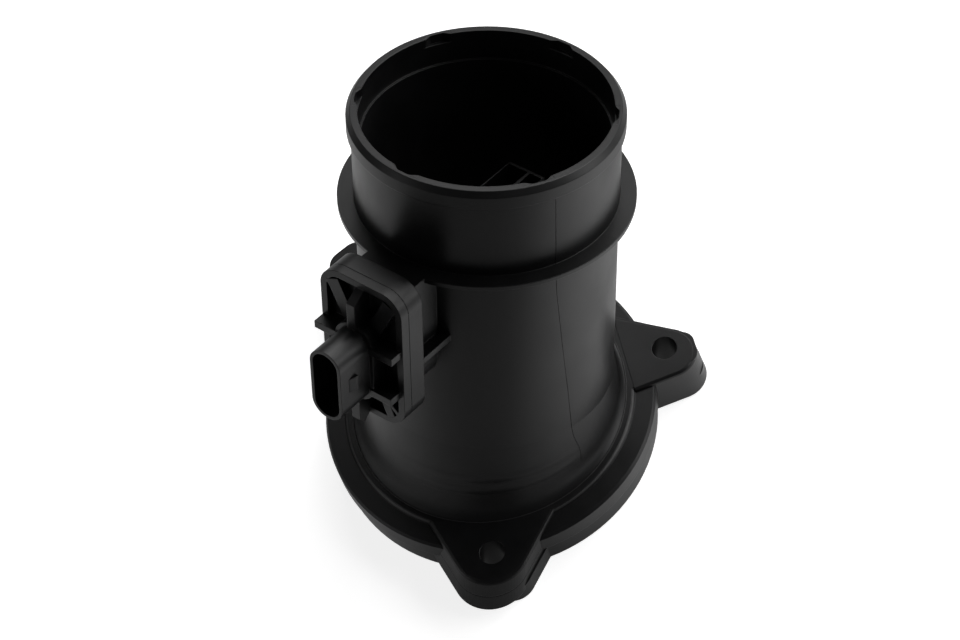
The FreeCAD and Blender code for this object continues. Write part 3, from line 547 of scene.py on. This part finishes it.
def contact_blade(number):
    """A tinned blade with a chamfered tip, set deep in the socket."""
    row_middle, pitch = -23.0, 4.6
    middle = row_middle + (number - 2.5) * pitch
    levels = ((62.5, 1.0, 0.32), (67.2, 1.0, 0.32), (68.2, 0.55, 0.12))
    points = [in_sensor(out, side * thick, middle + along * wide) for out, wide, thick in levels
              for side, along in ((-1, -1), (1, -1), (1, 1), (-1, 1))]
    faces = [[0, 1, 2, 3], [8, 9, 10, 11]] + grid_faces(len(levels), 4, closed=True)
    blade = add_piece("contact_blade_%d" % number, points, faces, "contact_metal")
    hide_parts("contact_%d" % number)


face_webs()
sensor_joint()
plug_lock()
for number in (1, 2, 3, 4):
    contact_blade(number)


# The stage, in metres: a pale floor that runs up behind, and soft studio light

def calc(tree, operation, *values):
    """The result of a Math node on numbers and other nodes' outputs."""
    node = tree.nodes.new("ShaderNodeMath")
    node.operation = operation
    for socket, value in zip(node.inputs, values):
        if isinstance(value, bpy.types.NodeSocket):
            tree.links.new(value, socket)
        else:
            socket.default_value = value
    return node.outputs[0]


def ray_strength(tree, seen, mirrored, other):
    """A strength for the camera's rays, another for reflections and glass, and one for the rest."""
    path = tree.nodes.new("ShaderNodeLightPath")
    mirror = calc(tree, "MAXIMUM", path.outputs["Is Glossy Ray"], path.outputs["Is Transmission Ray"])
    unseen = calc(tree, "MULTIPLY_ADD", mirror, mirrored - other, other)
    return calc(tree, "MULTIPLY_ADD", path.outputs["Is Camera Ray"], seen - other, unseen)


def light_pool(tree, glow, azimuth, distance, radius, strength):
    """A glow with a soft patch added in reflections, as bright paper beside the part's shadow."""
    even_share = 0.4
    place = tree.nodes.new("ShaderNodeTexCoord")
    shift = tree.nodes.new("ShaderNodeVectorMath")
    shift.operation = "SUBTRACT"
    shift.inputs[1].default_value = polar(distance, azimuth)
    tree.links.new(place.outputs["Object"], shift.inputs[0])
    size = tree.nodes.new("ShaderNodeVectorMath")
    size.operation = "LENGTH"
    tree.links.new(shift.outputs["Vector"], size.inputs[0])
    patch = spread(tree, size.outputs["Value"], strength, 0, radius * even_share, radius)
    path = tree.nodes.new("ShaderNodeLightPath")
    return calc(tree, "MULTIPLY_ADD", patch, path.outputs["Is Glossy Ray"], glow)


def floor_paper(seen, mirrored, colour):
    """Paper that is white where it is seen, pale where it is mirrored, and takes the part's shadow."""
    material = bpy.data.materials.new("floor_paper")
    material.use_nodes = True
    tree = material.node_tree
    tree.nodes.clear()
    glow = ray_strength(tree, seen, mirrored, 0)
    glow = light_pool(tree, glow, azimuth=278, distance=0.19, radius=0.16, strength=1.2)
    glow = light_pool(tree, glow, azimuth=120, distance=0.17, radius=0.16, strength=0.6)
    emission = tree.nodes.new("ShaderNodeEmission")
    tree.links.new(glow, emission.inputs["Strength"])
    matt = tree.nodes.new("ShaderNodeBsdfDiffuse")
    matt.inputs["Color"].default_value = colour
    both = tree.nodes.new("ShaderNodeAddShader")
    tree.links.new(emission.outputs[0], both.inputs[0])
    tree.links.new(matt.outputs[0], both.inputs[1])
    output = tree.nodes.new("ShaderNodeOutputMaterial")
    tree.links.new(both.outputs[0], output.inputs["Surface"])
    return material


def floor():
    """A sheet under the part that curves up into a backdrop far behind it."""
    near, bend, radius, top, half, gap, steps = -3.0, 2.0, 0.8, 3.0, 3.5, 0.0002, 12
    across = Vector((0.668, -0.744, 0))
    along = Vector((0.744, 0.668, 0))
    rows = [(near, 0.0)]
    for step in range(steps + 1):
        turn = step / steps * math.pi / 2
        rows.append((bend + radius * math.sin(turn), radius - radius * math.cos(turn)))
    rows.append((bend + radius, top))
    points = []
    for run, height in rows:
        for side in (-half, half):
            points.append(along * run + across * side + Vector((0, 0, height - gap)))
    faces = [(2 * k, 2 * k + 1, 2 * k + 3, 2 * k + 2) for k in range(len(rows) - 1)]
    mesh = bpy.data.meshes.new("floor")
    mesh.from_pydata(points, [], faces)
    mesh.shade_smooth()
    sheet = bpy.data.objects.new("floor", mesh)
    bpy.context.collection.objects.link(sheet)
    mesh.materials.append(floor_paper(seen=0.8, mirrored=0.15, colour=(0.62, 0.62, 0.62, 1)))


def studio_world():
    """A world that is white where it is seen and nearly dark otherwise, as the lamps light the part."""
    world = bpy.data.worlds.new("studio")
    bpy.context.scene.world = world
    world.use_nodes = True
    tree = world.node_tree
    tree.nodes.clear()
    sky = tree.nodes.new("ShaderNodeBackground")
    sky.inputs["Color"].default_value = (1, 1, 1, 1)
    tree.links.new(ray_strength(tree, seen=1, mirrored=0.1, other=0.03), sky.inputs["Strength"])
    output = tree.nodes.new("ShaderNodeOutputWorld")
    tree.links.new(sky.outputs[0], output.inputs["Surface"])


def softbox(name, azimuth, elevation, power):
    """A square lamp that faces the part's middle, placed round it by azimuth and elevation in degrees."""
    size, distance, target = 0.5, 1.2, Vector((0.01, 0, 0.07))
    light = bpy.data.lights.new(name, "AREA")
    light.shape = "SQUARE"
    light.size = size
    light.energy = power
    lamp = bpy.data.objects.new(name, light)
    bpy.context.collection.objects.link(lamp)
    turn, rise = math.radians(azimuth), math.radians(elevation)
    away = Vector((math.cos(rise) * math.cos(turn), math.cos(rise) * math.sin(turn), math.sin(rise)))
    lamp.location = target + away * distance
    lamp.rotation_mode = "QUATERNION"
    lamp.rotation_quaternion = (-away).to_track_quat("-Z", "Y")


def photo_camera():
    """The camera, which stands where the photograph was taken from."""
    place, lens = (-0.30905, -0.28456, 0.72748), 96.04
    right = Vector((0.44205, -0.88175, -0.16466))
    up = Vector((0.80419, 0.30828, 0.50817))
    ahead = Vector((0.39732, 0.35705, -0.84537))
    camera_data = bpy.data.cameras.new("camera")
    camera = bpy.data.objects.new("camera", camera_data)
    bpy.context.collection.objects.link(camera)
    turn = Matrix((right, up, -ahead)).transposed().to_4x4()
    camera.matrix_world = Matrix.Translation(place) @ turn
    camera_data.sensor_width = 36
    camera_data.lens = lens
    camera_data.clip_start = 0.01
    camera_data.clip_end = 50
    return camera


floor()
studio_world()
softbox("softbox_back", 0, 38, 6.3)
softbox("softbox_back_right", 330, 38, 4.2)
softbox("softbox_back_left", 30, 38, 3.2)
softbox("softbox_right", 300, 38, 2.6)
softbox("softbox_low_right", 300, 12, 3.2)
softbox("softbox_left", 135, 25, 2.0)
bpy.context.scene.camera = photo_camera()
bpy.context.scene.view_settings.view_transform = "Standard"
